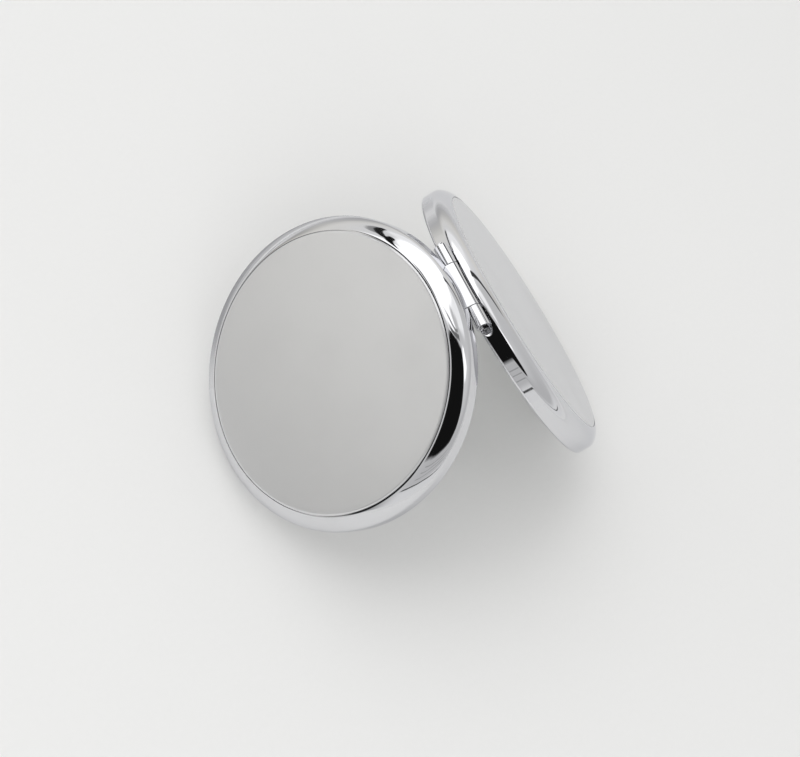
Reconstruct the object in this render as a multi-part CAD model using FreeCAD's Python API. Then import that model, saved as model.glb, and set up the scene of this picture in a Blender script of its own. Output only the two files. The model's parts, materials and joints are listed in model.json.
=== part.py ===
import FreeCAD, Part
import math
import os

from FreeCAD import Placement, Rotation, Vector

# A round pocket mirror of two equal halves on a pinned hinge, standing open like a tent.
# Both halves are drawn in one half frame: X runs from the middle of the disc towards the hinge,
# Y runs along the hinge pin, and Z (called depth here) is the distance from the parting plane
# towards the outer face. The pin axis lies on the lid's side of the parting plane.

# Case, in millimetres
case_diameter = 65.0
half_height = 5.9          # parting edge to outer face
side_height = 3.3          # parting edge to the crease under the shoulder
shoulder_bulge = 0.45      # how far the shoulder stands out from a straight cone
parting_gap = 0.2          # between the two parting edges when closed
side_wall = 0.9
shoulder_wall = 1.3
floor_wall = 1.0
edge_round = 0.6
crease_round = 2.0         # between side and shoulder

# Face plate in the outer face
shoulder_width = 3.2       # from the side of the case to the flat of the face
face_land = 0.15           # flat rim between shoulder and recess
plate_thickness = 0.5
plate_gap = 0.1            # hairline round the plate
plate_chamfer = 0.1
film_thickness = 0.1
film_inset = 0.5           # film edge inside the plate edge

# Glass
mirror_thickness = 2.0
mirror_play = 0.1          # glass edge to bezel
magnifier_radius = 550.0   # curvature of the concave glass, which magnifies about twice
glass_floor_gap = 0.25     # middle of the concave glass to the shell's floor
pad_inset = 0.5            # pad edge inside the glass edge
ring_pad_bore = 24.0       # opening in the pad behind the concave glass

# Bezel ring that holds the glass
bezel_inset = 0.15         # bezel front behind the parting edge
bezel_flange = 0.5
bezel_overhang = 3.65      # flange beyond the skirt, over hinge leaf and magnet
bezel_skirt = 0.8
bezel_lip = 1.0            # overlap on the glass
bezel_lip_edge = 0.4       # height of the lip's inner edge
bezel_flat = 0.4           # flat of the flange inside the skirt's outer face, before the slope starts
bezel_clearance = 0.05

# Hinge
opening_angle = 76.0       # at rest, between the two parting planes
pin_diameter = 1.8
pin_clearance = 0.03       # radial, in the base's turning knuckle
pin_grip_clearance = 0.01  # radial, in the lid's knuckles, which hold the pin
pin_recess = 0.4           # pin ends inside the knuckle ends
leaf_thickness = 0.6
centre_knuckle = 9.9
outer_knuckle = 4.6
knuckle_gap = 0.1
curl_gap_angle = 65.0      # open part of the rolled knuckle, under its tongue
hinge_inset = 0.2          # pin axis inside the case rim
hinge_rise = 1.4           # pin axis above the parting plane, towards the lid
base_tongue_slope = 30.0   # between leaf plate and tongue
lid_tongue_slope = 40.0
hinge_clearance = 0.3      # knuckle to the groove in the rims
hinge_wall = 0.8           # wall between groove and leaf plate
leaf_plate_width = 17.0
leaf_fit = 0.1             # leaf in its pocket, each side
leaf_top_clearance = 0.03  # leaf under the bezel flange

# Leaf rivets
rivet_diameter = 1.0
rivet_head_diameter = 1.7
rivet_head_height = 0.35
rivet_grip = 1.5           # shank length in the boss
rivet_inset = 2.0          # rivet axis from the end of the leaf plate
rivet_clearance = 0.02
boss_margin = 0.7          # boss beyond each end of the leaf plate

# Closing magnet
magnet_length = 8.0
magnet_width = 2.0
magnet_height = 1.4
magnet_skirt_gap = 0.3

# Sizes that follow from those above
case_radius = case_diameter / 2.0
edge_depth = parting_gap / 2.0
crease_depth = edge_depth + side_height
face_depth = edge_depth + half_height
land_radius = case_radius - shoulder_width
recess_radius = land_radius - face_land
plate_back = face_depth - plate_thickness
recess_depth = plate_back - film_thickness
floor_depth = recess_depth - floor_wall
cavity_radius = case_radius - side_wall
plate_radius = recess_radius - plate_gap

flange_front = edge_depth + bezel_inset
flange_back = flange_front + bezel_flange
flange_radius = cavity_radius - bezel_clearance
skirt_outer = flange_radius - bezel_overhang
skirt_inner = skirt_outer - bezel_skirt
mirror_radius = skirt_inner - mirror_play
lip_radius = mirror_radius - bezel_lip
magnifier_sag = magnifier_radius - math.sqrt(magnifier_radius ** 2 - mirror_radius ** 2)
mirror_back = floor_depth - glass_floor_gap - magnifier_sag
mirror_depth = mirror_back - mirror_thickness

pin_radius = pin_diameter / 2.0
knuckle_radius = pin_radius + pin_clearance + leaf_thickness
hinge_length = centre_knuckle + 2.0 * (outer_knuckle + knuckle_gap)
hinge_reach = case_radius - hinge_inset
groove_radius = knuckle_radius + hinge_clearance
groove_length = 2.0 * case_radius
leaf_front = flange_back + leaf_top_clearance
leaf_back = leaf_front + leaf_thickness
hinge_wall_reach = hinge_reach - groove_radius - hinge_wall
plate_reach = hinge_wall_reach - leaf_fit
rivet_offset = leaf_plate_width / 2.0 - rivet_inset
plate_inner = math.sqrt((skirt_outer + leaf_fit) ** 2 - rivet_offset ** 2)
rivet_reach = (plate_inner + plate_reach) / 2.0

# The open tent stands on its rounded parting edges. Both touch the floor, and the two lean angles
# add up to the opening angle, which settles the base's lean and the height of the pin axis.
opening = math.radians(opening_angle)
rim_reach = hinge_reach + case_radius - edge_round
base_rim_depth = edge_depth + edge_round + hinge_rise
lid_rim_depth = edge_depth + edge_round - hinge_rise
base_lean = math.atan2(
    rim_reach * (1.0 - math.cos(opening)) + lid_rim_depth * math.sin(opening),
    rim_reach * math.sin(opening) + lid_rim_depth * math.cos(opening) + base_rim_depth,
)
lid_lean = opening - base_lean
hinge_height = rim_reach * math.cos(base_lean) - base_rim_depth * math.sin(base_lean) + edge_round


def at(radius, depth):
    """A point of a half section, in the XZ plane."""
    return Vector(radius, 0.0, depth)


def segment(start, end):
    return Part.LineSegment(start, end).toShape()


def chain(points):
    """Straight edges through the points."""
    return [segment(a, b) for a, b in zip(points, points[1:])]


def turned(edges):
    """The solid that a closed half section makes when it is turned about the disc's axis.

    The turn starts and ends opposite the hinge, so that no seam crosses the cuts there.
    """
    face = Part.Face(Part.Wire(edges))
    face.rotate(Vector(0, 0, 0), Vector(0, 0, 1), 180.0)
    return face.revolve(Vector(0, 0, 0), Vector(0, 0, 1), 360.0)


def disc(radius, front, back):
    return Part.makeCylinder(radius, back - front, Vector(0, 0, front), Vector(0, 0, 1))


def block(x_low, x_high, width, low, high):
    """A box that is centred on the hinge's middle."""
    return Part.makeBox(x_high - x_low, width, high - low, Vector(x_low, -width / 2.0, low))


def circle_edges(shape, radius, depth):
    """The full round edges of a solid at one radius and depth."""
    found = []
    for edge in shape.Edges:
        if not isinstance(edge.Curve, Part.Circle):
            continue
        same_radius = abs(edge.Curve.Radius - radius) < 1e-4
        same_depth = abs(edge.Curve.Center.z - depth) < 1e-4
        if same_radius and same_depth:
            found.append(edge)
    return found


def axis_depth(is_lid):
    """Depth of the pin axis in a half frame."""
    return hinge_rise if is_lid else -hinge_rise


def hinge_rod(radius, length, is_lid):
    """A rod on the pin axis, centred along it."""
    start = Vector(hinge_reach, -length / 2.0, axis_depth(is_lid))
    return Part.makeCylinder(radius, length, start, Vector(0, 1, 0))


def shoulder_direction():
    """Unit vector from the crease to the face, along the chord of the shoulder."""
    along = at(land_radius, face_depth) - at(case_radius, crease_depth)
    return along.normalize()


# Shell

def shoulder_arc():
    """Middle and radius of the arc that the shoulder follows from crease to face."""
    crease = at(case_radius, crease_depth)
    face = at(land_radius, face_depth)
    along = shoulder_direction()
    outward = Vector(along.z, 0, -along.x)
    half_chord = (face - crease).Length / 2.0
    radius = (half_chord ** 2 + shoulder_bulge ** 2) / (2.0 * shoulder_bulge)
    middle = (crease + face) * 0.5 + outward * (shoulder_bulge - radius)
    return middle, radius


def rounding(middle, radius, first, last):
    """An arc about a point of the half section, between two directions in radians."""
    turn = (first, (first + last) / 2.0, last)
    points = [middle + at(math.cos(a), math.sin(a)) * radius for a in turn]
    return Part.Arc(*points).toShape(), points[0], points[2]


def direction(start, end):
    """Angle of the line between two points of the half section."""
    return math.atan2(end.z - start.z, end.x - start.x)


def shell_blank():
    """The outside of a half, rounded at its edge and crease, with the recess for the face plate."""
    shoulder_middle, shoulder_radius = shoulder_arc()
    face = at(land_radius, face_depth)
    crease_reach = case_radius - crease_round
    crease_rise = math.sqrt(
        (shoulder_radius - crease_round) ** 2 - (crease_reach - shoulder_middle.x) ** 2
    )
    crease_middle = at(crease_reach, shoulder_middle.z + crease_rise)
    meeting = direction(shoulder_middle, crease_middle)
    edge_middle = at(case_radius - edge_round, edge_depth + edge_round)

    edge, edge_start, edge_end = rounding(edge_middle, edge_round, -math.pi / 2.0, 0.0)
    crease, crease_start, _ = rounding(crease_middle, crease_round, 0.0, meeting)
    shoulder, _, _ = rounding(
        shoulder_middle, shoulder_radius, meeting, direction(shoulder_middle, face)
    )
    top = chain([
        face,
        at(recess_radius, face_depth),
        at(recess_radius, recess_depth),
        at(0, recess_depth),
        at(0, edge_depth),
        edge_start,
    ])
    return turned([edge, segment(edge_end, crease_start), crease, shoulder] + top)


def shell_cavity():
    """The room inside a half: straight wall, sloped shoulder, flat floor."""
    along = shoulder_direction()
    inward = Vector(-along.z, 0, along.x)
    start = at(case_radius, crease_depth) + inward * shoulder_wall
    wall_end = start + along * ((cavity_radius - start.x) / along.x)
    floor_start = start + along * ((floor_depth - start.z) / along.z)
    return turned(chain([
        at(0, 0),
        at(cavity_radius, 0),
        wall_end,
        floor_start,
        at(0, floor_depth),
        at(0, 0),
    ]))


def hinge_mass():
    """What stays solid at the hinge: the wall behind the groove and the boss that carries the leaf."""
    wall = block(hinge_wall_reach, case_radius, case_diameter, 0, face_depth)
    boss_width = leaf_plate_width + 2.0 * boss_margin
    boss = block(0, hinge_wall_reach, boss_width, leaf_back, face_depth)
    boss = boss.cut(disc(skirt_outer + bezel_clearance, 0, face_depth))
    return wall.fuse(boss)


def shell(is_lid):
    """One half of the case, with a groove for the hinge and slots for its tongues."""
    body = shell_blank().cut(shell_cavity().cut(hinge_mass()))
    body = body.cut(hinge_rod(groove_radius, groove_length, is_lid))
    for start, end in tongue_spans(is_lid):
        body = body.cut(tongue_slot(start - leaf_fit, end + leaf_fit, is_lid))
    for side in (-1, 1):
        body = body.cut(rivet_solid(side, rivet_clearance))
    return body


# Face plate and its adhesive film

def face_plate():
    plate = disc(plate_radius, plate_back, face_depth)
    return plate.makeChamfer(plate_chamfer, circle_edges(plate, plate_radius, face_depth))


def face_film():
    return disc(plate_radius - film_inset, recess_depth, plate_back)


# Glass, pads and bezel

def sphere_depth(radius, edge):
    """Depth of the concave surface at a radius, where its depth at the glass edge is given."""
    fall = magnifier_radius - math.sqrt(magnifier_radius ** 2 - radius ** 2)
    return edge + magnifier_sag - fall


def concave_edge(inner, outer, edge):
    """Arc of the concave surface between two radii."""
    points = [at(r, sphere_depth(r, edge)) for r in (inner, (inner + outer) / 2.0, outer)]
    return Part.Arc(*points).toShape(), points[0], points[2]


def plain_mirror():
    return disc(mirror_radius, mirror_depth, mirror_back)


def concave_mirror():
    front, front_middle, front_rim = concave_edge(0, mirror_radius, mirror_depth)
    back, back_middle, back_rim = concave_edge(0, mirror_radius, mirror_back)
    return turned([front, segment(front_rim, back_rim), back, segment(back_middle, front_middle)])


def plain_pad():
    return disc(mirror_radius - pad_inset, mirror_back, floor_depth)


def ring_pad():
    inner = ring_pad_bore / 2.0
    outer = mirror_radius - pad_inset
    front, front_inner, front_outer = concave_edge(inner, outer, mirror_back)
    rest = chain([front_outer, at(outer, floor_depth), at(inner, floor_depth), front_inner])
    return turned([front] + rest)


def bezel():
    """Ring with a flange at the parting edge, a slope to the glass and a skirt to the floor."""
    ring = turned(chain([
        at(flange_radius, flange_front),
        at(skirt_outer + bezel_flat, flange_front),
        at(lip_radius, mirror_depth - bezel_lip_edge),
        at(lip_radius, mirror_depth),
        at(skirt_inner, mirror_depth),
        at(skirt_inner, floor_depth),
        at(skirt_outer, floor_depth),
        at(skirt_outer, flange_back),
        at(flange_radius, flange_back),
        at(flange_radius, flange_front),
    ]))
    beyond = block(hinge_wall_reach - bezel_clearance, case_radius, case_diameter, 0, face_depth)
    return ring.cut(beyond)


# Hinge

def knuckle_spans(is_lid):
    """Start and end of each knuckle along the pin."""
    if not is_lid:
        return [(-centre_knuckle / 2.0, centre_knuckle / 2.0)]
    inner = centre_knuckle / 2.0 + knuckle_gap
    return [(-inner - outer_knuckle, -inner), (inner, inner + outer_knuckle)]


def tongue_spans(is_lid):
    """The stretch of each knuckle whose tongue runs into the shell, no wider than the leaf plate."""
    limit = leaf_plate_width / 2.0
    return [(max(start, -limit), min(end, limit)) for start, end in knuckle_spans(is_lid)]


def slope_angle(is_lid):
    """The base's tongue slopes down into its half, the lid's slopes up towards the parting plane."""
    return math.radians(-lid_tongue_slope if is_lid else base_tongue_slope)


def pin_middle(is_lid):
    """Middle of the pin in a half frame."""
    return at(hinge_reach, axis_depth(is_lid))


def round_pin(radius, angle, is_lid):
    """A point round the pin: angle 0 points away from the case, a quarter turn to the outer face."""
    return pin_middle(is_lid) + at(math.cos(angle), math.sin(angle)) * radius


def tongue_lines(is_lid):
    """Start and bend of the tongue's back and front lines, from the knuckle to the leaf plate."""
    slope = slope_angle(is_lid)
    leave = math.pi / 2.0 - slope
    along = Vector(-math.cos(slope), 0, math.sin(slope))
    fall = leaf_back - axis_depth(is_lid) - knuckle_radius * math.cos(slope)
    run = fall / math.sin(slope)
    back_start = round_pin(knuckle_radius, leave, is_lid)
    front_start = round_pin(knuckle_radius - leaf_thickness, leave, is_lid)
    back_bend = back_start + along * run
    front_bend = front_start + along * (run - leaf_thickness * math.tan(slope / 2.0))
    return back_start, back_bend, front_bend, front_start


def carried(edges, start, end):
    """A closed section across the hinge, carried from start to end along the pin."""
    face = Part.Face(Part.Wire(edges))
    face.translate(Vector(0, start, 0))
    return face.extrude(Vector(0, end - start, 0))


def tongue_slot(start, end, is_lid):
    """Room in the shell from the parting edge down to the back of the tongue."""
    back_start, back_bend, _, _ = tongue_lines(is_lid)
    inner = hinge_wall_reach - leaf_fit
    below = min(0.0, back_start.z) - parting_gap
    outline = chain([
        at(inner, below),
        at(back_start.x, below),
        back_start,
        back_bend,
        at(inner, leaf_back),
        at(inner, below),
    ])
    return carried(outline, start, end)


def tongue(start, end, is_lid):
    back_start, back_bend, front_bend, front_start = tongue_lines(is_lid)
    outline = chain([
        back_start,
        back_bend,
        at(plate_reach, leaf_back),
        at(plate_reach, leaf_front),
        front_bend,
        front_start,
        back_start,
    ])
    return carried(outline, start, end)


def rolled_knuckle(start, end, is_lid):
    """Sheet rolled round the pin from its tongue, with the open gap of the roll facing the shell."""
    bore_radius = pin_radius + (pin_grip_clearance if is_lid else pin_clearance)
    first = math.pi / 2.0 - slope_angle(is_lid)
    last = first + math.radians(curl_gap_angle) - 2.0 * math.pi
    middle = pin_middle(is_lid)
    outer, outer_start, outer_end = rounding(middle, knuckle_radius, first, last)
    inner, inner_start, inner_end = rounding(middle, bore_radius, first, last)
    free_end = segment(outer_end, inner_end)
    fixed_end = segment(inner_start, outer_start)
    return carried([outer, free_end, inner, fixed_end], start, end)


def rivet_solid(side, play):
    """Countersunk rivet through leaf and boss, or its hole where play is given."""
    place = Vector(rivet_reach, side * rivet_offset, leaf_front)
    shank_radius = rivet_diameter / 2.0 + play
    head_radius = rivet_head_diameter / 2.0 + play
    shank = Part.makeCylinder(shank_radius, leaf_thickness + rivet_grip, place, Vector(0, 0, 1))
    head = Part.makeCone(head_radius, shank_radius, rivet_head_height, place, Vector(0, 0, 1))
    return shank.fuse(head).removeSplitter()


def hinge_leaf(is_lid):
    """Leaf plate on the boss, with a tongue to each rolled knuckle."""
    plate = block(0, plate_reach, leaf_plate_width, leaf_front, leaf_back)
    leaf = plate.cut(disc(skirt_outer + leaf_fit, 0, face_depth))
    for start, end in tongue_spans(is_lid):
        leaf = leaf.fuse(tongue(start, end, is_lid))
    for start, end in knuckle_spans(is_lid):
        leaf = leaf.fuse(rolled_knuckle(start, end, is_lid))
    for side in (-1, 1):
        leaf = leaf.cut(rivet_solid(side, rivet_clearance))
    return leaf.removeSplitter()


def leaf_rivets():
    return Part.makeCompound([rivet_solid(side, 0.0) for side in (-1, 1)])


def hinge_pin():
    return hinge_rod(pin_radius, hinge_length - 2.0 * pin_recess, True)


# Closing magnet, on the back of the bezel flange, opposite the hinge

def magnet():
    reach = skirt_outer + magnet_skirt_gap
    return block(-reach - magnet_width, -reach, magnet_length, flange_back, flange_back + magnet_height)


# Assembly

def half_placement(is_lid):
    """Place of a half frame in the standing part: base towards -X, lid towards +X, pin along Y."""
    lean = math.degrees(lid_lean if is_lid else base_lean)
    tilt = Rotation(Vector(0, 1, 0), lean - 90.0)
    side = Rotation(Vector(0, 0, 1), 180.0 if is_lid else 0.0)
    turn = side.multiply(tilt)
    return Placement(at(0, hinge_height) - turn.multVec(pin_middle(is_lid)), turn)


def half_pieces(is_lid):
    """Every piece of one half, by name, in the half frame."""
    pieces = {
        "shell": shell(is_lid),
        "face_plate": face_plate(),
        "face_film": face_film(),
        "bezel": bezel(),
        "magnet": magnet(),
        "hinge_leaf": hinge_leaf(is_lid),
        "leaf_rivets": leaf_rivets(),
    }
    if is_lid:
        pieces["magnifying_mirror"] = concave_mirror()
        pieces["mirror_pad"] = ring_pad()
    else:
        pieces["mirror"] = plain_mirror()
        pieces["mirror_pad"] = plain_pad()
    return pieces


def save(name, shape, placement):
    placed = shape.copy()
    placed.Placement = placement.multiply(placed.Placement)
    placed.exportStep(os.path.join("parts", name + ".step"))
    valid = "valid" if placed.isValid() else "NOT VALID"
    print(name, len(placed.Solids), "solids", round(placed.Volume, 2), "mm3", valid)


os.makedirs("parts", exist_ok=True)
for half, is_lid in (("base", False), ("lid", True)):
    for piece, shape in half_pieces(is_lid).items():
        save(half + "_" + piece, shape, half_placement(is_lid))
save("hinge_pin", hinge_pin(), half_placement(True))
print("pin axis height", round(hinge_height, 4), "base lean", round(math.degrees(base_lean), 3))
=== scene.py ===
# %% [markdown]
# A round pocket mirror of polished metal stands open like a tent. Two equal halves hang on one
# pinned hinge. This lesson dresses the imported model: each visible piece is drawn again as a smooth
# surface, gets a worked finish, and is set in a small studio with the photograph's camera.
# The frame is loaded first, because every later step takes its places and sizes from it.

# %% Load the frame
import json

import bmesh
import bpy
import numpy as np
from mathutils import Matrix, Vector


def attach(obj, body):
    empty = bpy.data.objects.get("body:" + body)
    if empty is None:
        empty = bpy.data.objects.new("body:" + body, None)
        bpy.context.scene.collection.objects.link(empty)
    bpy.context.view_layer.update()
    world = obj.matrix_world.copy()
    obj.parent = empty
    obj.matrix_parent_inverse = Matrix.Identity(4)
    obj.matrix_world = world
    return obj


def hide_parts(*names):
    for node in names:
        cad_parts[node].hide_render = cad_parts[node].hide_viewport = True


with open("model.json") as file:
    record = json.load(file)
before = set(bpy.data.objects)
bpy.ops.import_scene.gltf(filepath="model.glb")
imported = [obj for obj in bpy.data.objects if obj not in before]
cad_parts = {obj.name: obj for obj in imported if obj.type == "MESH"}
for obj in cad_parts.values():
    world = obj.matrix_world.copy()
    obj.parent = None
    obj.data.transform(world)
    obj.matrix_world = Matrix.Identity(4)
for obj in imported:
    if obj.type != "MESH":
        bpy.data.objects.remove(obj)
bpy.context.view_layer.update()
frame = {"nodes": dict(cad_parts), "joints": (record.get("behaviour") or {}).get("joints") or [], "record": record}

# %% [markdown]
# Each half is a disc that leans on its rim. Drawing it in leaning axes would be awkward, so each half
# gets a frame of its own: the origin is the middle of the outer face, x points to the hinge pin,
# y runs along the pin and z points out of the face. The record knows the middle and the direction of
# both faces and the place of the pin, so nothing is measured twice. Lengths are millimetres from here.

# %% The two half frames
MM = 0.001
pin_point = np.array(frame["joints"][0]["pos_m"])
face_mounts = {mount["name"]: mount for mount in frame["record"]["mounts"]}


def half_frame(body):
    """Origin and axes of one half, and the pin's place (x, z) in them."""
    mount = face_mounts[body + "_face"]
    origin = np.array(mount["pos_m"])
    z = np.array(mount["axis"]) / np.linalg.norm(mount["axis"])
    to_pin = pin_point - origin
    x = to_pin - z * (to_pin @ z)
    x /= np.linalg.norm(x)
    axes = np.array([x, np.cross(z, x), z])
    return {"body": body, "origin": origin, "axes": axes, "pin": axes[[0, 2]] @ to_pin / MM}


base, lid = half_frame("base"), half_frame("lid")
for half in (base, lid):
    print(half["body"], "pin at x, z =", half["pin"].round(3), "mm")

# %% [markdown]
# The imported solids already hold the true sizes. Reading their points in the half frame gives the main
# radii and depths that the new surfaces need, and these stay equal if the model is changed later.

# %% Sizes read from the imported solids
def node_points(node, half):
    """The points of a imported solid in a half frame."""
    mesh = frame["nodes"][node].data
    flat = np.empty(len(mesh.vertices) * 3, np.float32)
    mesh.vertices.foreach_get("co", flat)
    return (flat.reshape(-1, 3) - half["origin"]) @ half["axes"].T / MM


def round_sizes(node, half):
    """Least and greatest radius, then least and greatest z, of a turned solid."""
    x, y, z = node_points(node, half).T
    radius = np.hypot(x, y)
    return radius.min(), radius.max(), z.min(), z.max()


_, case_radius, rim_z, _ = round_sizes("base_shell", base)
_, plate_radius, plate_back, _ = round_sizes("base_face_plate", base)
lip_radius, flange_radius, flange_z, floor_z = round_sizes("base_bezel", base)
_, glass_radius, glass_z, glass_back = round_sizes("base_mirror", base)
print("case radius %.2f, rim %.2f, plate radius %.2f, glass radius %.2f, glass front %.2f"
      % (case_radius, rim_z, plate_radius, glass_radius, glass_z))

# %% [markdown]
# A few helpers make every surface of the mirror. A section is a list of points that is built from
# straight runs and arcs. A turned surface carries that section round the disc's axis, and a carried
# surface takes it along the pin. Both work on whole arrays, which is quick and leaves no gaps.

# %% Sections and surfaces
same_point = 1e-6             # points of a section that lie closer than this are one
weld_reach = 1e-4 * MM        # closes the pole where a surface meets its axis
sharp_turn = np.radians(35)   # an edge that turns further than this stays sharp


def run(start, end, count=2):
    """Points on the straight line from start to end."""
    return np.linspace(start, end, count)


def arc(middle, radius, first, last, count):
    """Points at middle + radius (cos a, sin a), for a from first to last in radians."""
    turn = np.linspace(first, last, count)
    return np.asarray(middle) + radius * np.stack([np.cos(turn), np.sin(turn)], -1)


def joined(*stretches):
    """One section from several stretches, without the points that repeat where they meet."""
    points = np.concatenate(stretches)
    step = np.linalg.norm(np.diff(points, axis=0), axis=1)
    return points[np.concatenate([[True], step > same_point])]


def circle(count):
    """Angles that stand evenly round a full turn."""
    return np.linspace(0, 2 * np.pi, count, endpoint=False)


def turned(section, angles):
    """Grid of points (r cos a, r sin a, z): each section point carried round the disc's axis."""
    radius, z = section.T
    return np.stack([np.outer(radius, np.cos(angles)), np.outer(radius, np.sin(angles)),
                     np.outer(z, np.ones_like(angles))], -1)


def ring_faces(rows, columns):
    """Corner numbers of the quads of a grid whose last column meets its first again."""
    row, column = np.meshgrid(np.arange(rows - 1), np.arange(columns), indexing="ij")
    beside = (column + 1) % columns
    corners = np.stack([row * columns + column, (row + 1) * columns + column,
                        (row + 1) * columns + beside, row * columns + beside], -1)
    return corners.reshape(-1, 4)


def carried(section, start, end):
    """A closed section (x, z) carried along y from start to end, with a cap on each end. The sign of the
    section's area, summed as x times the next z less z times the next x, tells which way is outwards."""
    x, z = section.T
    count = len(section)
    points = np.concatenate([np.stack([x, np.full(count, y), z], -1) for y in (start, end)])
    cap = np.arange(count)[None, :]
    faces = [ring_faces(2, count), cap, cap[:, ::-1] + count]
    area = x @ np.roll(z, -1) - z @ np.roll(x, -1)
    return points, faces if area > 0 else [block[:, ::-1] for block in faces]


def piece(name, half, parts, node):
    """Makes one named object from surfaces in a half frame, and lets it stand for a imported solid. Each part
    is its points and a list of arrays of corner numbers."""
    points, faces, first = [], [], 0
    for part_points, part_faces in parts:
        points.append(half["origin"] + MM * part_points @ half["axes"])
        for block in part_faces:
            faces += (block + first).tolist()
        first += len(part_points)
    mesh = bpy.data.meshes.new(name)
    mesh.from_pydata(np.concatenate(points), [], faces)
    shape = bmesh.new()
    shape.from_mesh(mesh)
    bmesh.ops.remove_doubles(shape, verts=shape.verts, dist=weld_reach)
    shape.to_mesh(mesh)
    shape.free()
    mesh.shade_smooth()
    made = bpy.data.objects.new(name, mesh)
    bpy.context.scene.collection.objects.link(made)
    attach(made, half["body"])
    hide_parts(node)
    print(name, len(mesh.polygons), "faces")
    return made


def turned_piece(name, half, section, node, angles, shaped=None):
    """A turned surface as a piece. The shaped function may move its points before it is made."""
    grid = turned(section, angles)
    if shaped is not None:
        grid = shaped(grid)
    rows, columns = grid.shape[:2]
    made = piece(name, half, [(grid.reshape(-1, 3), [ring_faces(rows, columns)])], node)
    made.data.set_sharp_from_angle(angle=sharp_turn)
    return made


print("surface helpers ready")

# %% [markdown]
# The shell is pressed from sheet and polished. Its section starts in the recess of the face, crosses
# the narrow land, follows the soft shoulder and the rounded crease down the side, turns round the
# parting edge and comes back inside. A mirror finish shows every facet, so the arcs are sampled finely
# here, while flat floors that nobody sees get one step.

# %% The shell's section
shoulder_width = 3.2      # side to face land
shoulder_bulge = 0.45     # how far the shoulder stands out from a straight cone
side_height = 3.3         # parting edge to the crease
crease_round = 2.0
edge_round = 0.6
face_land = 0.15
land_round = 2.0          # soft rounding between shoulder and face
plate_step = 0.13         # how far the land lies below the face plate
side_wall = 0.9
inner_drop = 0.9          # the straight inner wall ends this far short of the crease
inner_slope = 2.4         # how far the inside then slopes in before the flat floor
film_thickness = 0.1
land_steps, shoulder_steps, crease_steps, side_steps, edge_steps = 12, 40, 22, 36, 18


def shoulder_arcs():
    """Middle and radius of the shoulder arc, and the middles of the crease and land arcs inside it."""
    crease = np.array([case_radius, rim_z + side_height])
    land = np.array([case_radius - shoulder_width, -plate_step])
    chord = land - crease
    length = np.linalg.norm(chord)
    outward = np.array([chord[1], -chord[0]]) / length
    radius = (length ** 2 / 4 + shoulder_bulge ** 2) / (2 * shoulder_bulge)
    middle = (crease + land) / 2 + outward * (shoulder_bulge - radius)
    reach = case_radius - crease_round
    rise = np.sqrt((radius - crease_round) ** 2 - (reach - middle[0]) ** 2)
    crease_middle = np.array([reach, middle[1] + rise])
    inset = np.sqrt((radius - land_round) ** 2 - (land_round + plate_step + middle[1]) ** 2)
    land_middle = np.array([middle[0] + inset, -land_round - plate_step])
    return middle, radius, crease_middle, land_middle


def direction(start, end):
    """Angle of the line from start to end."""
    return np.arctan2(end[1] - start[1], end[0] - start[0])


def shell_section():
    """Section points (r, z): from the middle of the face recess over the outside to the parting edge, and
    from there over the inside back to the middle."""
    middle, radius, crease_middle, land_middle = shoulder_arcs()
    meeting, top = direction(middle, crease_middle), direction(middle, land_middle)
    recess = case_radius - shoulder_width - face_land
    recess_z = plate_back - film_thickness
    cavity = case_radius - side_wall
    wall_end = rim_z + side_height - inner_drop
    edge_middle = (case_radius - edge_round, rim_z + edge_round)
    lip = np.arccos((recess - land_middle[0]) / land_round)
    return joined(
        run((0, recess_z), (recess, recess_z)),
        run((recess, recess_z), (recess, land_middle[1] + land_round * np.sin(lip)), 3),
        arc(land_middle, land_round, lip, top, land_steps),
        arc(middle, radius, top, meeting, shoulder_steps),
        arc(crease_middle, crease_round, meeting, 0, crease_steps),
        run((case_radius, crease_middle[1]), (case_radius, rim_z + edge_round), side_steps),
        arc(edge_middle, edge_round, 0, -np.pi / 2, edge_steps),
        run((case_radius - edge_round, rim_z), (cavity, rim_z)),
    ), joined(
        run((cavity, rim_z), (cavity, wall_end), 4),
        run((cavity, wall_end), (cavity - inner_slope, floor_z), 3),
        run((cavity - inner_slope, floor_z), (0, floor_z)),
    )


outside, inside = shell_section()
print("shell section:", len(outside), "points outside,", len(inside), "inside")

# %% [markdown]
# Beside the hinge each rim has a round groove, so that the rolled knuckles of the other half can turn
# in it. A boolean cut would break the polished grid. Instead, every point that falls inside the
# groove's cylinder slides towards the middle of the disc until it lies on that cylinder. The columns of
# the grid stand close together there, which keeps the groove's edge crisp.

# %% The shells with their hinge groove
knuckle_clearance = 0.3
hinge_wall = 0.8
hinge_sector = np.radians(24)   # to each side of the hinge, the columns stand close together
shell_columns = (270, 230)      # columns beside the hinge and round the rest


def knuckle_radius(half):
    """Greatest distance from the pin among the leaf's points on the far side of the pin."""
    x, _, z = node_points(half["body"] + "_hinge_leaf", half).T
    beyond = x > half["pin"][0]
    return np.hypot(x - half["pin"][0], z - half["pin"][1])[beyond].max()


def hinge_angles(near, far):
    """Angles round the disc: near of them beside the hinge, which lies at angle 0, and far round the rest."""
    return np.concatenate([np.linspace(-hinge_sector, hinge_sector, near, endpoint=False),
                           np.linspace(hinge_sector, 2 * np.pi - hinge_sector, far, endpoint=False)])


barrel_radius = knuckle_radius(base)
groove_radius = barrel_radius + knuckle_clearance


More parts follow.
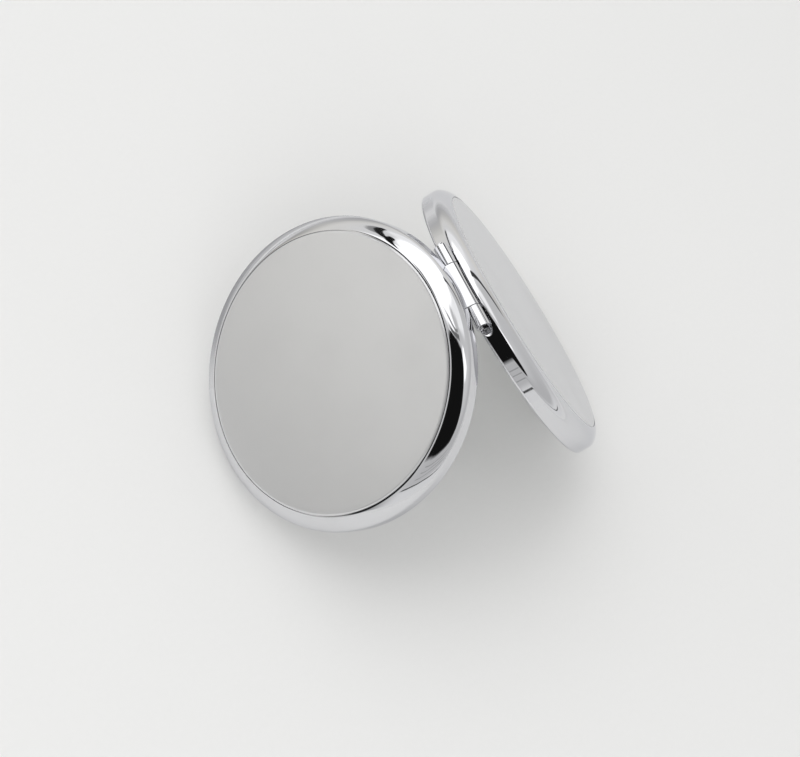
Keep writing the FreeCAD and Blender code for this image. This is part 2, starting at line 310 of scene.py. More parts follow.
def shell(half):
    """Turned shell whose points inside the groove slide along x to the groove's cylinder."""
    pin_x, pin_z = half["pin"]
    wall_x = pin_x - groove_radius - hinge_wall

    def grooved(grid):
        x, y, z = np.moveaxis(grid, -1, 0)
        across = np.sqrt(np.maximum(groove_radius ** 2 - (z - pin_z) ** 2, 0.0))
        in_groove = (np.hypot(x - pin_x, z - pin_z) < groove_radius) & (x > 0)
        x = np.where(in_groove, pin_x - across, x)
        x[len(outside):] = np.minimum(x[len(outside):], wall_x)
        return np.stack([x, y, z], -1)

    section = np.concatenate([outside, inside[1:]])
    return turned_piece(half["body"] + "_polished_shell", half, section, half["body"] + "_shell",
                        hinge_angles(*shell_columns), grooved)


shells = [shell(half) for half in (base, lid)]

# %% [markdown]
# A thin round plate closes the recess in each face and stands a hair above the land round it. Only its
# top and the soft round at its edge show. That round turns quickly through the dark part of the room,
# which draws the fine ring round the face.

# %% Face plates
plate_round = 0.75
plate_turn = np.radians(40)   # how far the edge turns down
top_steps, round_steps, plate_columns = 24, 14, 288


def face_plate(half):
    """Turned plate: flat top, round edge, straight side, flat back."""
    flat = plate_radius - plate_round * np.sin(plate_turn)
    section = joined(
        run((0, 0), (flat, 0), top_steps),
        arc((flat, -plate_round), plate_round, np.pi / 2, np.pi / 2 - plate_turn, round_steps),
        run((plate_radius, -plate_round * (1 - np.cos(plate_turn))), (plate_radius, plate_back)),
        run((plate_radius, plate_back), (0, plate_back)),
    )
    return turned_piece(half["body"] + "_polished_plate", half, section, half["body"] + "_face_plate",
                        circle(plate_columns))


plates = [face_plate(half) for half in (base, lid)]

# %% [markdown]
# Inside each half a ring holds the glass. Its flat flange lies just under the parting edge and slopes
# down to a lip over the glass, and a skirt behind it stands on the floor of the shell. The ring is cut
# straight beside the hinge, so points beyond that line are pulled back on to it.

# %% Bezel rings
flange_thickness = 0.5
flange_overhang = 3.65
skirt_thickness = 0.8
slope_start = 0.4           # from the skirt outwards to where the slope begins
slope_soft = 0.2            # the slope begins softly over this length to each side
slope_dip = 0.06            # and has sunk by this much at the inner end of it
lip_edge = 0.4
lip_turn = 1.32 * np.pi     # where the lip's round meets the slope
ring_round = 0.12
ring_clearance = 0.05
ring_steps = 5
ring_columns = (80, 220)


def bezel_section():
    """Closed section (r, z): flange edge and back, skirt, seat for the glass, lip, slope, flange front."""
    skirt = flange_radius - flange_overhang
    inner = skirt - skirt_thickness
    top = skirt + slope_start
    back_z = flange_z + flange_thickness
    lip_z = glass_z - lip_edge + ring_round
    return joined(
        run((flange_radius, flange_z + ring_round), (flange_radius, back_z)),
        run((flange_radius, back_z), (skirt, back_z)),
        run((skirt, back_z), (skirt, floor_z)),
        run((skirt, floor_z), (inner, floor_z)),
        run((inner, floor_z), (inner, glass_z)),
        run((inner, glass_z), (lip_radius, glass_z)),
        run((lip_radius, glass_z), (lip_radius, lip_z)),
        arc((lip_radius + ring_round, lip_z), ring_round, np.pi, lip_turn, ring_steps),
        run((top - slope_soft, flange_z + slope_dip), (top + slope_soft, flange_z), 3),
        run((top + slope_soft, flange_z), (flange_radius - ring_round, flange_z)),
        arc((flange_radius - ring_round, flange_z + ring_round), ring_round, -np.pi / 2, 0, ring_steps),
    )


def bezel(half):
    """Turned ring, cut straight in front of the hinge wall: no x is greater than the cut's."""
    cut_x = half["pin"][0] - groove_radius - hinge_wall - ring_clearance

    def cut(grid):
        grid[..., 0] = np.minimum(grid[..., 0], cut_x)
        return grid

    return turned_piece(half["body"] + "_glass_ring", half, bezel_section()[::-1], half["body"] + "_bezel",
                        hinge_angles(*ring_columns), cut)


rings = [bezel(half) for half in (base, lid)]

# %% [markdown]
# The base holds a flat glass and the lid a slightly hollow one, which enlarges what it shows. Both are
# silvered discs with ground edges. The hollow is so shallow that a parabola does for the ground sphere.
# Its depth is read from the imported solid: the back of the middle less the back of the rim.

# %% The two glasses
ground_edge = 0.15
rim_band = 0.01           # points this close to the edge belong to the rim
glass_steps, glass_columns = 40, 192


def glass(half, node, front_z, back_z, sag):
    """Turned disc whose front and back sink by sag (1 - r squared / R squared) towards the middle."""
    def sunk(radius, z):
        return np.stack([radius, z + sag * (1 - (radius / glass_radius) ** 2)], -1)

    flat_radius = np.linspace(0, glass_radius - ground_edge, glass_steps)
    section = joined(
        sunk(flat_radius, back_z),
        run((glass_radius, back_z - ground_edge), (glass_radius, front_z + ground_edge)),
        sunk(flat_radius[::-1], front_z),
    )
    return turned_piece(half["body"] + "_silvered_glass", half, section, node,
                        circle(glass_columns))


_, _, hollow_rim_z, hollow_back = round_sizes("lid_magnifying_mirror", lid)
hollow_points = node_points("lid_magnifying_mirror", lid)
on_rim = np.hypot(hollow_points[:, 0], hollow_points[:, 1]) > glass_radius - rim_band
hollow = hollow_back - hollow_points[on_rim, 2].max()
glasses = [glass(base, "base_mirror", glass_z, glass_back, 0.0),
           glass(lid, "lid_magnifying_mirror", hollow_rim_z, hollow_back - hollow, hollow)]
print("hollow of the magnifying glass: %.3f mm" % hollow)

# %% [markdown]
# The hinge is rolled from sheet: a strip runs out of each half, curls nearly all the way round the pin
# and leaves a gap beside its own tongue. Base and lid share one drawing, an open ring that is carried
# along the pin, with the tongue as a second strip. A Bevel modifier breaks the sharp ends, as tumbling
# does in the workshop.

# %% Rolled knuckles and their leaves
sheet = 0.6
curl_gap = np.radians(65)
curl_steps = 72
tongue_slope = {"base": np.radians(30), "lid": np.radians(-40)}
leaf_width = 17.0
leaf_fit = 0.1
leaf_gap = 0.03
broken_edge = 0.07
broken_steps = 3
broken_from = np.radians(50)   # only edges that turn further are broken


def knuckle_spans(half):
    """Start and end of each knuckle along the pin, read from the leaf's points beyond the pin."""
    x, y, _ = node_points(half["body"] + "_hinge_leaf", half).T
    along = y[x > half["pin"][0]]
    if half is base:
        return [(along.min(), along.max())]
    return [(along.min(), along[along < 0].max()), (along[along > 0].min(), along.max())]


def curl_section(half):
    """Open ring round the pin: the outer arc one way, the inner arc back."""
    first = np.pi / 2 - tongue_slope[half["body"]]
    last = first + curl_gap - 2 * np.pi
    return joined(arc(half["pin"], barrel_radius, first, last, curl_steps),
                  arc(half["pin"], barrel_radius - sheet, last, first, curl_steps))


def tongue_section(half):
    """The strip from the curl to the leaf plate: it leaves the barrel along its tangent and bends flat."""
    slope = tongue_slope[half["body"]]
    leave = np.array([np.sin(slope), np.cos(slope)])
    along = np.array([-np.cos(slope), np.sin(slope)])
    plate_z = flange_z + flange_thickness + leaf_gap
    back = half["pin"] + barrel_radius * leave
    front = half["pin"] + (barrel_radius - sheet) * leave
    reach = (plate_z + sheet - back[1]) / along[1]
    back_bend = back + along * reach
    front_bend = front + along * (reach - sheet * np.tan(slope / 2))
    plate_end = half["pin"][0] - groove_radius - hinge_wall - leaf_fit
    return np.array([back, back_bend, (plate_end, plate_z + sheet), (plate_end, plate_z), front_bend, front])


def leaf(half):
    """Knuckles, tongues and leaf plate of one half."""
    spans = knuckle_spans(half)
    limit = leaf_width / 2
    tongue = tongue_section(half)
    plate_end, plate_z = tongue[3]
    skirt = flange_radius - flange_overhang + leaf_fit
    plate = np.array([(skirt, plate_z), (plate_end, plate_z),
                      (plate_end, plate_z + sheet), (skirt, plate_z + sheet)])
    parts = [carried(curl_section(half), *span) for span in spans]
    parts += [carried(tongue, max(start, -limit), min(end, limit)) for start, end in spans]
    parts += [carried(plate, -limit, limit)]
    made = piece(half["body"] + "_rolled_hinge", half, parts, half["body"] + "_hinge_leaf")
    bevel = made.modifiers.new("broken edges", "BEVEL")
    bevel.width = broken_edge * MM
    bevel.segments = broken_steps
    bevel.limit_method = "ANGLE"
    bevel.angle_limit = broken_from
    bevel.harden_normals = True
    return made


hinges = [leaf(half) for half in (base, lid)]

# %% [markdown]
# The pin is a short steel rod with a small chamfer at each end. Its ends sit a little inside the outer
# knuckles, where they show as a dark ring with a bright middle.

# %% Hinge pin
pin_chamfer = 0.15
pin_columns = 48


def hinge_pin():
    """Rod turned about the pin axis: a half section (radius, y) carried once round."""
    x, y, z = node_points("hinge_pin", lid).T
    pin_x, pin_z = lid["pin"]
    radius = np.hypot(x - pin_x, z - pin_z).max()
    low, high = y.min(), y.max()
    section = np.array([(0, high), (radius - pin_chamfer, high), (radius, high - pin_chamfer),
                        (radius, low + pin_chamfer), (radius - pin_chamfer, low), (0, low)])
    rod = turned(section, circle(pin_columns))
    points = np.stack([pin_x + rod[..., 0], rod[..., 2], pin_z - rod[..., 1]], -1).reshape(-1, 3)
    faces = [ring_faces(len(section), pin_columns)]
    made = piece("steel_hinge_pin", lid, [(points, faces)], "hinge_pin")
    made.data.set_sharp_from_angle(angle=sharp_turn)
    return made


pin = hinge_pin()

# %% [markdown]
# Finishes are written as sums. The class below wraps a shader socket, so that 1 - haze or 0.03 + 0.05 *
# haze adds its Math nodes by itself, and one method adds any other node.

# %% Shader sums
class Field:
    """A value that varies over a surface, with arithmetic that adds Math nodes."""

    def __init__(self, tree, socket=None):
        self.tree, self.socket = tree, socket

    def node(self, kind, settings=None, inputs=None, output=0):
        """Adds a node: its settings first, then a value or a link for each input."""
        made = self.tree.nodes.new(kind)
        for name, value in (settings or {}).items():
            setattr(made, name, value)
        for name, value in (inputs or {}).items():
            if isinstance(value, Field):
                self.tree.links.new(value.socket, made.inputs[name])
            else:
                made.inputs[name].default_value = value
        return Field(self.tree, made.outputs[output])

    def math(self, operation, first, second):
        """Adds a Math node; each side is a field or a plain number."""
        return self.node("ShaderNodeMath", {"operation": operation}, {0: first, 1: second})

    def __add__(self, other):
        return self.math("ADD", self, other)

    def __sub__(self, other):
        return self.math("SUBTRACT", self, other)

    def __rsub__(self, other):
        return self.math("SUBTRACT", other, self)

    def __mul__(self, other):
        return self.math("MULTIPLY", self, other)

    __radd__ = __add__
    __rmul__ = __mul__

    def step(self, low, high):
        """Soft step from 0 at low to 1 at high."""
        return self.node("ShaderNodeMapRange", {"interpolation_type": "SMOOTHSTEP"},
                         {"Value": self, "From Min": low, "From Max": high})

    def blend(self, first, second):
        """Colour that goes from first to second as the field goes from 0 to 1. The colours of a Mix node are
        its sockets 6 and 7, and its output 2."""
        return self.node("ShaderNodeMix", {"data_type": "RGBA"}, {0: self, 6: first, 7: second}, 2)


def grey(level, tint=(1.0, 1.0, 1.0)):
    """A grey of that level, with a faint tint."""
    return (level * tint[0], level * tint[1], level * tint[2], 1.0)


def finish(name, **constants):
    """A new material: its Field starter, its shader, and constants on the shader's own sockets."""
    material = bpy.data.materials.new(name)
    material.use_nodes = True
    tree = material.node_tree
    shader = next(node for node in tree.nodes if node.type == "BSDF_PRINCIPLED")
    for socket, value in constants.items():
        shader.inputs[socket.replace("_", " ")].default_value = value
    return material, Field(tree), shader


def feed(field, shader, socket):
    """Links a field to a socket of a shader or an output."""
    field.tree.links.new(field.socket, shader.inputs[socket])


def feed_bump(height, shader, strength, distance):
    """Links a height to the shader's Normal through a Bump node."""
    settings = {"Strength": strength, "Distance": distance, "Height": height}
    feed(height.node("ShaderNodeBump", inputs=settings), shader, "Normal")


def object_place(start):
    """Object coordinates, in metres."""
    return start.node("ShaderNodeTexCoord", output="Object")


def noise(start, scale, detail=4.0, roughness=0.5, stretch=(1.0, 1.0, 1.0)):
    """Noise on Object coordinates, stretched along the object's axes."""
    mapped = start.node("ShaderNodeMapping", inputs={"Vector": object_place(start), "Scale": stretch})
    return start.node("ShaderNodeTexNoise", inputs={"Vector": mapped, "Scale": scale, "Detail": detail,
                                                    "Roughness": roughness})


def dress(pieces, material):
    """Gives several pieces one finish."""
    for made in pieces:
        made.data.materials.append(material)
    print(material.name, "on", len(pieces), "pieces")


print("shader sums ready")

# %% [markdown]
# Polished metal is mostly its surroundings. Up close it also has a breath of polishing haze, faint
# smudges from fingers, hairlines that run with the buffing wheel, and a very slight wave left by the
# press. Haze and smudges raise the roughness, hairlines do so in narrow streaks, and the wave is a
# bump so shallow that it only bends reflections a little.

# %% Polished metal
edge_tint = grey(0.84, (1.0, 1.005, 1.03))   # of reflections at a low angle
wave_strength, wave_height, wave_scale = 0.012, 0.0006, 120.0


def press_wave(start, shader):
    """The slight wave that the press leaves in sheet metal."""
    feed_bump(noise(start, wave_scale, 1.0), shader, wave_strength, wave_height)


def polished_metal():
    """Bright cool metal with haze, smudges and hairlines."""
    material, start, shader = finish("polished_metal", Metallic=1.0, Specular_Tint=edge_tint)
    clean, hazy = grey(0.74, (1.0, 1.003, 1.028)), grey(0.71, (1.0, 1.002, 1.022))
    haze = noise(start, 90.0, 3.0).step(0.42, 0.68)
    smudge = noise(start, 260.0, 6.0, 0.62).step(0.55, 0.78)
    hairline = noise(start, 700.0, 2.0, 0.5, (1.0, 14.0, 1.0)).step(0.62, 0.70)
    feed((0.55 * haze + 0.45 * smudge).blend(clean, hazy), shader, "Base Color")
    feed(0.018 + 0.022 * haze + 0.035 * smudge * haze + 0.05 * hairline, shader, "Roughness")
    press_wave(start, shader)
    return material


dress(shells + rings + hinges, polished_metal())

# %% [markdown]
# The face plates look calmer than the rims: they are polished and then covered with a pearly silver
# lacquer. About half of the light comes back as a soft reflection and the rest as the lacquer's own pale
# silver, so a plate stays silver when it faces a dark corner. Metallic is set between the two, which is
# what a thin layer of metal flakes in clear lacquer does.

# %% Lacquered face plates
def lacquered_plate():
    """Pale silver with slow clouds and very fine flakes."""
    material, start, shader = finish("lacquered_plate", Metallic=0.55, Specular_IOR_Level=0.3,
                                     Specular_Tint=edge_tint)
    clean, clouded = grey(0.685, (1.0, 1.003, 1.014)), grey(0.66, (1.0, 1.002, 1.010))
    cloud = noise(start, 60.0, 3.0).step(0.40, 0.70)
    flake = noise(start, 4200.0, 2.0, 0.6).step(0.45, 0.75)
    feed((0.7 * cloud + 0.3 * flake).blend(clean, clouded), shader, "Base Color")
    feed(0.10 + 0.04 * cloud + 0.03 * flake, shader, "Roughness")
    press_wave(start, shader)
    return material


dress(plates, lacquered_plate())

# %% [markdown]
# The glasses are silvered on the back, so the reflection is bright and slightly green-grey, and the
# front carries a clear coat with dust and a few smears. Smears are a stretched noise.

# %% Silvered glass
def silvered_glass():
    """Bright mirror under a clear coat, with smears and specks of dust."""
    material, start, shader = finish("silvered_glass", Metallic=1.0, Coat_IOR=1.52)
    clean, dusty = grey(0.86, (0.985, 1.0, 0.995)), grey(0.80)
    smear = noise(start, 180.0, 5.0, 0.6, (1.0, 3.0, 1.6)).step(0.56, 0.80)
    dust = noise(start, 5200.0, 1.0).step(0.74, 0.78)
    feed((0.4 * smear + 0.6 * dust).blend(clean, dusty), shader, "Base Color")
    feed(0.006 + 0.05 * smear + 0.25 * dust, shader, "Roughness")
    feed(1.0 - 0.5 * smear, shader, "Coat Weight")
    return material


dress(glasses, silvered_glass())

# %% [markdown]
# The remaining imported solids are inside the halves: foam pads behind the glasses, adhesive film behind
# the plates, magnets and rivets. They keep their shapes and get finishes of their own, because the
# model may be taken apart: open cells for the foam, a patchy milky film, nickel plate with fine pits,
# and drawn steel with lines along the wire.

# %% Foam, film, magnets and steel
def foam():
    """Dark matt foam with open cells."""
    material, start, shader = finish("foam", Specular_IOR_Level=0.2)
    cell = start.node("ShaderNodeTexVoronoi", inputs={"Vector": object_place(start), "Scale": 2600.0})
    tone = noise(start, 300.0)
    feed((0.6 * cell + 0.4 * tone).blend(grey(0.045), grey(0.11)), shader, "Base Color")
    feed(0.82 + 0.15 * tone, shader, "Roughness")
    feed_bump(cell, shader, 0.6, 0.0002)
    return material


def adhesive_film():
    """Milky film that has taken hold in patches."""
    material, start, shader = finish("adhesive_film", Specular_IOR_Level=0.4)
    deep, milky = grey(0.70, (1.0, 0.97, 0.88)), grey(0.80, (1.0, 0.98, 0.92))
    patch = noise(start, 420.0, 5.0)
    feed(patch.step(0.35, 0.7).blend(deep, milky), shader, "Base Color")
    feed(0.45 + 0.3 * patch, shader, "Roughness")
    return material


def nickel_plate():
    """Warm bright plating with fine pits."""
    material, start, shader = finish("nickel_plate", Metallic=1.0)
    pitted, bright = grey(0.55, (1.0, 0.98, 0.93)), grey(0.64, (1.0, 0.985, 0.95))
    pit = noise(start, 2400.0, 3.0)
    feed(pit.step(0.3, 0.7).blend(pitted, bright), shader, "Base Color")
    feed(0.22 + 0.2 * pit, shader, "Roughness")
    return material


def drawn_steel():
    """Plain steel with lines along the wire."""
    material, start, shader = finish("drawn_steel", Metallic=1.0)
    line = noise(start, 1800.0, 3.0, 0.5, (1.0, 0.08, 1.0))
    feed(line.step(0.3, 0.7).blend(grey(0.50), grey(0.62)), shader, "Base Color")
    feed(0.25 + 0.2 * line, shader, "Roughness")
    return material


inner_finishes = {"mirror_pad": foam(), "face_film": adhesive_film(), "magnet": nickel_plate(),
                  "leaf_rivets": drawn_steel()}
for ending, material in inner_finishes.items():
    solids = [solid for node, solid in frame["nodes"].items() if node.endswith(ending)]
    for solid in solids:
        solid.data.materials.clear()
    dress(solids, material)
dress([pin], inner_finishes["leaf_rivets"])

# %% [markdown]
# Chrome is only as good as the room that it reflects, so most of the work on this finish is the room. A
# pale table fills the picture. Its grain is too fine to see as a pattern, but it keeps the surface from
# looking like a flat fill. Far from the mirror the lamps no longer reach the table, and its end would show
# as a grey band. There it turns into an even pale glow. A Light Path node lets only the camera and
# reflections see that glow, so it puts no light on the mirror's matt surfaces or on the table itself.

# %% Table
table_reach = 20.0
glow_start, glow_full = 0.22, 0.65     # metres from the middle of the table
paper_tint = (1.0, 1.0, 0.99)


def stage_object(name, points, faces, material):
    """An object of the studio, which is not part of the mirror."""
    mesh = bpy.data.meshes.new(name)
    mesh.from_pydata(points, [], faces)
    mesh.materials.append(material)
    made = bpy.data.objects.new(name, mesh)
    bpy.context.scene.collection.objects.link(made)
    return made


def mix_to_surface(share, first, second):
    """Shows the first shader where share is 0 and the second where it is 1."""
    mixed = share.node("ShaderNodeMixShader", inputs={0: share, 1: first, 2: second})
    out = next(node for node in share.tree.nodes if node.type == "OUTPUT_MATERIAL")
    feed(mixed, out, "Surface")


def pale_table():
    """Pale paper with a fine grain, which fades into a glow far from the middle."""
    material, start, shader = finish("pale_table", Specular_IOR_Level=0.2)
    grain = noise(start, 900.0)
    feed(grain.blend(grey(0.84, paper_tint), grey(0.86, paper_tint)), shader, "Base Color")
    feed(0.6 + 0.2 * grain, shader, "Roughness")
    distance = start.node("ShaderNodeVectorMath", {"operation": "LENGTH"}, {0: object_place(start)}, "Value")
    camera_ray, glossy_ray = [start.node("ShaderNodeLightPath", output=kind)
                              for kind in ("Is Camera Ray", "Is Glossy Ray")]
    glow = start.node("ShaderNodeEmission", inputs={"Color": grey(0.82, paper_tint)})
    mix_to_surface(distance.step(glow_start, glow_full) * (camera_ray + glossy_ray),
                   Field(start.tree, shader.outputs[0]), glow)
    return material


corners = [(-table_reach, -table_reach, 0.0), (table_reach, -table_reach, 0.0),
           (table_reach, table_reach, 0.0), (-table_reach, table_reach, 0.0)]
stage_object("table", corners, [[0, 1, 2, 3]], pale_table())
print("table", 2 * table_reach, "m wide")

# %% [markdown]
# What stands round the table is drawn as cards on a dome. Each card is a strip of azimuth with a lower
# and an upper edge of its own, and fades out at its border, as things do that are out of focus. The
# large pale card above and behind is the lamp. The dark card opposite gives the black streaks on the
# shoulder and on the side of the lid, and the thin strips give the fine lines beside them. The two lamps
# and the dark card also light and shade the table. The other cards are seen by reflections alone. Cards
# that cross each other lie at slightly different distances, because two surfaces in one place show through
# each other in patches.

# %% Cards on a dome
dome_radius = 1.2
near_radius = 1.0         # for the strips that stand in front of the dome
low_radius = 0.25         # for the low walls close to the mirror
card_gap = 0.002          # between cards that cross each other
card_lift = 0.2 * MM      # a card that lies on the table lies this far above it
card_rows, card_columns = 60, 24


def card_patch(stops, radius, lift):
    """Grid over azimuth a and a second value s that runs from the stops' lower to their upper edge.
    On the dome s is the elevation e: R (cos e cos a, cos e sin a, sin e). Without a radius the card lies
    on the table and s is the distance from the middle in millimetres: (s cos a, s sin a, lift)."""
    azimuth, lower, upper = np.array(stops, float).T
    a = np.linspace(azimuth[0], azimuth[-1], card_rows)[:, None]
    share = np.linspace(0, 1, card_columns)[None, :]
    low, high = np.interp(a, azimuth, lower), np.interp(a, azimuth, upper)
    a, s = np.radians(a + 0 * share), low + (high - low) * share
    if radius is None:
        across, height = s * MM, np.full_like(s, lift)
    else:
        across, height = radius * np.cos(np.radians(s)), radius * np.sin(np.radians(s))
    points = np.stack([across * np.cos(a), across * np.sin(a), height], -1)
    row, column = np.meshgrid(np.arange(card_rows - 1), np.arange(card_columns - 1), indexing="ij")
    first = (row * card_columns + column).ravel()
    faces = np.stack([first, first + 1, first + card_columns + 1, first + card_columns], -1)
    return points.reshape(-1, 3), faces.tolist()


def fade(count, width):
    """Rises smoothly from 0 at both ends of a row of points to 1 at width from them."""
    place = np.linspace(0, 1, count)
    share = np.clip(np.minimum(place, 1 - place) / width, 0, 1)
    return share * share * (3 - 2 * share)


def room_card(name, level, soft, stops, on_table=False, radius=dome_radius, lift=card_lift):
    """A card of one brightness. Soft is the share of its length and of its height over which it fades out
    at each border. If on_table is set, it also lights or shades the table."""
    material, start, shader = finish(name)
    start.tree.nodes.remove(shader)
    cover = start.node("ShaderNodeAttribute", {"attribute_name": "cover"}, output="Fac")
    glow = start.node("ShaderNodeEmission", inputs={"Color": grey(1.0), "Strength": level})
    mix_to_surface(cover, start.node("ShaderNodeBsdfTransparent"), glow)
    card = stage_object(name, *card_patch(stops, radius, lift), material)
    shares = np.outer(fade(card_rows, soft[0]), fade(card_columns, soft[1])).ravel()
    card.data.attributes.new("cover", "FLOAT", "POINT").data.foreach_set("value", shares.astype(np.float32))
    card.visible_camera = False
    card.visible_shadow = card.visible_diffuse = on_table


print("card helpers ready")

# %% [markdown]
# Lamps and walls come first, then the strips for the fine lines, then low walls and shades on the table.
# Each was placed one by one: the law of reflection tells which direction a spot on the rim shows, and a card
# in that direction gives the spot its tone.

# %% Lamps and walls
# Each stop is azimuth, lower edge and upper edge, in degrees.
room_card("lamp_card", 1.5, (0.06, 0.1), [
    (34, 44, 70), (50, 37, 78), (75, 35, 82), (100, 36, 82), (124, 37, 80), (130, 26, 80), (136, 19, 80),
    (148, 18, 80), (156, 38, 81), (166, 52, 82), (182, 70, 84)], on_table=True)
room_card("side_lamp", 1.4, (0.2, 0.2), [(-86, 58, 76), (-70, 54, 80), (-52, 58, 76)], on_table=True)
room_card("wall_glow", 1.05, (0.2, 0.3), [
    (30, 22, 46), (60, 22, 44), (84, 24, 44), (100, 28, 44)], radius=1.25)
room_card("top_glow", 1.1, (0.2, 0.25), [
    (-40, 64, 88), (20, 54, 89), (60, 54, 89), (110, 70, 89)], radius=1.3)
room_card("dark_card", 0.008, (0.03, 0.03), [
    (-194, 44, 50), (-190, 43, 60), (-185, 41, 66), (-180, 38, 70), (-170, 27, 76), (-165, 22, 77.5),
    (-150, 25.5, 80), (-120, 28, 81), (-100, 28.5, 80), (-90, 34, 77), (-83, 46, 68)],
    on_table=True, radius=dome_radius - card_gap)
print("lamps and walls placed")

# %% Strips for the fine lines
room_card("near_arc", 0.17, (0.1, 0.25), [
    (160, 43, 53), (164, 50, 61), (170, 59, 68), (176, 66, 74), (184, 72, 79), (196, 77, 83),
    (215, 80.5, 84.5), (240, 82, 86), (262, 81, 85)], radius=near_radius)
room_card("far_arc", 0.28, (0.1, 0.25), [
    (152, 47, 59), (157, 57, 68), (164, 65.5, 74), (172, 72.5, 79.5), (186, 79.5, 84.5), (205, 84, 87.5),
    (230, 86, 88.5)], radius=near_radius + card_gap)
room_card("streak_shade", 0.33, (0.2, 0.3), [
    (86, 22, 27), (100, 21, 31), (114, 24, 34), (122, 28, 34)], radius=1.1)
room_card("back_streak", 0.02, (0.1, 0.2), [
    (83, 23.5, 27), (92, 24, 29.5), (102, 26, 32), (110, 28, 34), (118, 29.5, 35), (126, 31.5, 35)],
    radius=near_radius)
room_card("upper_streak", 0.01, (0.1, 0.2), [
    (103, 35.5, 38.5), (112, 34, 39), (120, 32.5, 37.5), (130, 31, 36), (139, 32, 34.5)],
    radius=near_radius - card_gap)
room_card("left_patch", 0.12, (0.25, 0.2), [(141, 36, 42), (148, 32, 43), (158, 33, 42)], radius=near_radius)
room_card("right_patch", 0.05, (0.1, 0.25), [
    (8, 15, 22), (14, 19, 29), (20, 28, 37), (32, 40, 50), (44, 51, 58)], radius=near_radius)
room_card("paper_edge", 0.06, (0.06, 0.3), [
    (-160, 10.8, 12.4), (-140, 11.6, 13.4), (-120, 11, 12.8), (-105, 9, 10.8), (-70, 7.6, 9.2),
    (-45, 6.8, 8.2), (-28, 6.4, 7.6)])
for name, low, high in (("low_line", 16.2, 17.0), ("middle_line", 19.6, 20.3), ("high_line", 22.6, 23.4)):
    room_card(name, 0.36, (0.2, 0.3), [(-150, low, high), (-120, low + 1, high + 1), (-92, low, high)])
room_card("edge_shade", 0.02, (0.08, 0.12), [
    (-218, 15.5, 23), (-210, 16.5, 28), (-203, 17, 31), (-197, 16.5, 31), (-191, 12, 27), (-187, 3, 22),
    (-178, 1, 19), (-170, 3, 17)], radius=1.15)
print("strips placed")

# %% Low walls and shades on the table
room_card("back_edge", 0.55, (0.15, 0.5), [(95, -4, 3.5), (185, -4, 3.5)])
room_card("low_edge", 0.5, (0.3, 0.4), [(105, -3, 4), (150, -3, 3), (205, -3, 3)], radius=low_radius)
room_card("low_wall", 0.48, (0.5, 0.5), [
    (10, -3, 20), (45, -3, 25), (75, -3, 27), (105, -3, 25), (145, -3, 18)], radius=low_radius + card_gap)
# The next two lie on the table behind the base: azimuth, inner and outer distance in millimetres.
room_card("table_shade", 0.60, (0.25, 0.5), [(66, 25, 190), (160, 25, 190)], radius=None)
room_card("table_shade_near", 0.42, (0.25, 0.5), [(70, 20, 105), (158, 20, 105)], radius=None,
          lift=2 * card_lift)
print("low walls and table shades placed")

# %% [markdown]
# The room behind the cards is a soft wall. It is palest straight behind the mirror, and a little warm low
# down there. It is greyer at the sides and dark low on the left, which gives the faces their slow gradient.
# In front it is greyest at half height. A broad lamp beside the camera and a weaker one on the left open
# the shadows on the table. Reflections don't see these two, because the room that the metal shows there
# has to stay even.

# %% Room light and soft lamps
lamp_distance, lamp_width, lamp_height = 1.0, 0.9, 0.6


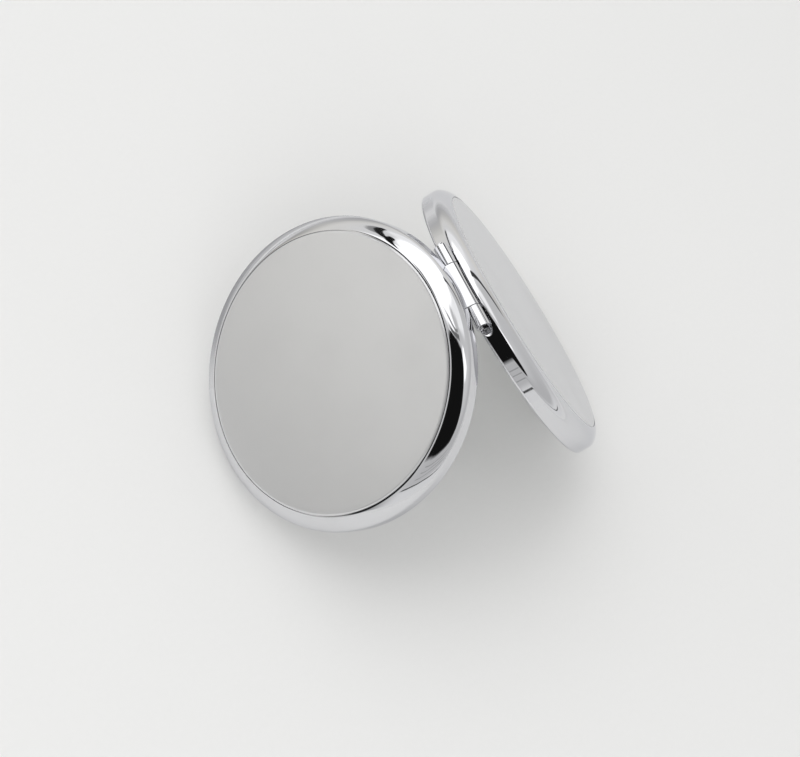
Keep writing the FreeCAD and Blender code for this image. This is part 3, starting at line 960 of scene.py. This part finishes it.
def room():
    """Wall level as a sum of soft steps of the direction's x, y and height z, then a faint warm tint."""
    world = bpy.data.worlds.new("soft_room")
    world.use_nodes = True
    bpy.context.scene.world = world
    tree = world.node_tree
    start = Field(tree)
    place = start.node("ShaderNodeTexCoord", output="Generated")
    x, y, z = [start.node("ShaderNodeSeparateXYZ", inputs={"Vector": place}, output=axis) for axis in "XYZ"]
    dip = (1 - z.step(-0.02, 0.2)) * (0 - x).step(0.2, 0.6)
    behind = 0.64 - 0.44 * dip + 0.18 * y.step(0.24, 0.40)
    front = 0.80 - 0.24 * z.step(0.14, 0.24) + 0.18 * z.step(0.4, 0.85)
    level = behind + (front - behind) * (0 - y).step(0.0, 0.6)
    warm = y.step(0.0, 0.3) * (1 - z.step(0.05, 0.5))
    sky = level.blend(grey(0.0), warm.blend(grey(1.0), grey(1.0, (1.0, 0.98, 0.92))))
    feed(sky, next(node for node in tree.nodes if node.type == "BACKGROUND"), "Color")


def soft_lamp(name, azimuth, elevation, power):
    """A soft panel that looks at the middle of the object."""
    light = bpy.data.lights.new(name, "AREA")
    light.shape, light.size, light.size_y, light.energy = "RECTANGLE", lamp_width, lamp_height, power
    lamp = bpy.data.objects.new(name, light)
    a, e = np.radians([azimuth, elevation])
    outward = Vector((np.cos(e) * np.cos(a), np.cos(e) * np.sin(a), np.sin(e)))
    turn = outward.to_track_quat("Z", "Y").to_matrix().to_4x4()
    lamp.matrix_world = Matrix.Translation(outward * lamp_distance) @ turn
    bpy.context.scene.collection.objects.link(lamp)
    lamp.visible_camera = lamp.visible_glossy = False


room()
soft_lamp("front_lamp", -128, 42, 3.4)
soft_lamp("left_lamp", 178, 46, 0.8)
print("room and soft lamps ready")

# %% [markdown]
# The camera was found by fitting the two discs to the outlines in the photograph. It stands to the
# left in front, looks steeply down and is rolled, because the object was photographed on a slant.

# %% Camera
camera_place = np.array([-139.245, -105.797, 289.456]) * MM
camera_look = np.array([0.41873, 0.32457, -0.84813])
camera_up = np.array([0.28094, 0.84183, 0.46086])
camera_lens = 67.01
sensor_width = 36.0
nearest_seen = 0.01

lens = bpy.data.cameras.new("photo_camera")
lens.lens, lens.sensor_width, lens.sensor_fit = camera_lens, sensor_width, "HORIZONTAL"
lens.clip_start = nearest_seen
camera = bpy.data.objects.new("photo_camera", lens)
camera_right = np.cross(camera_look, camera_up)
turn = Matrix(np.array([camera_right, camera_up, -camera_look]).T.tolist()).to_4x4()
camera.matrix_world = Matrix.Translation(camera_place.tolist()) @ turn
bpy.context.scene.collection.objects.link(camera)
bpy.context.scene.camera = camera
bpy.context.scene.view_settings.view_transform = "Standard"
print("camera", camera_lens, "mm at", camera_place.round(3))
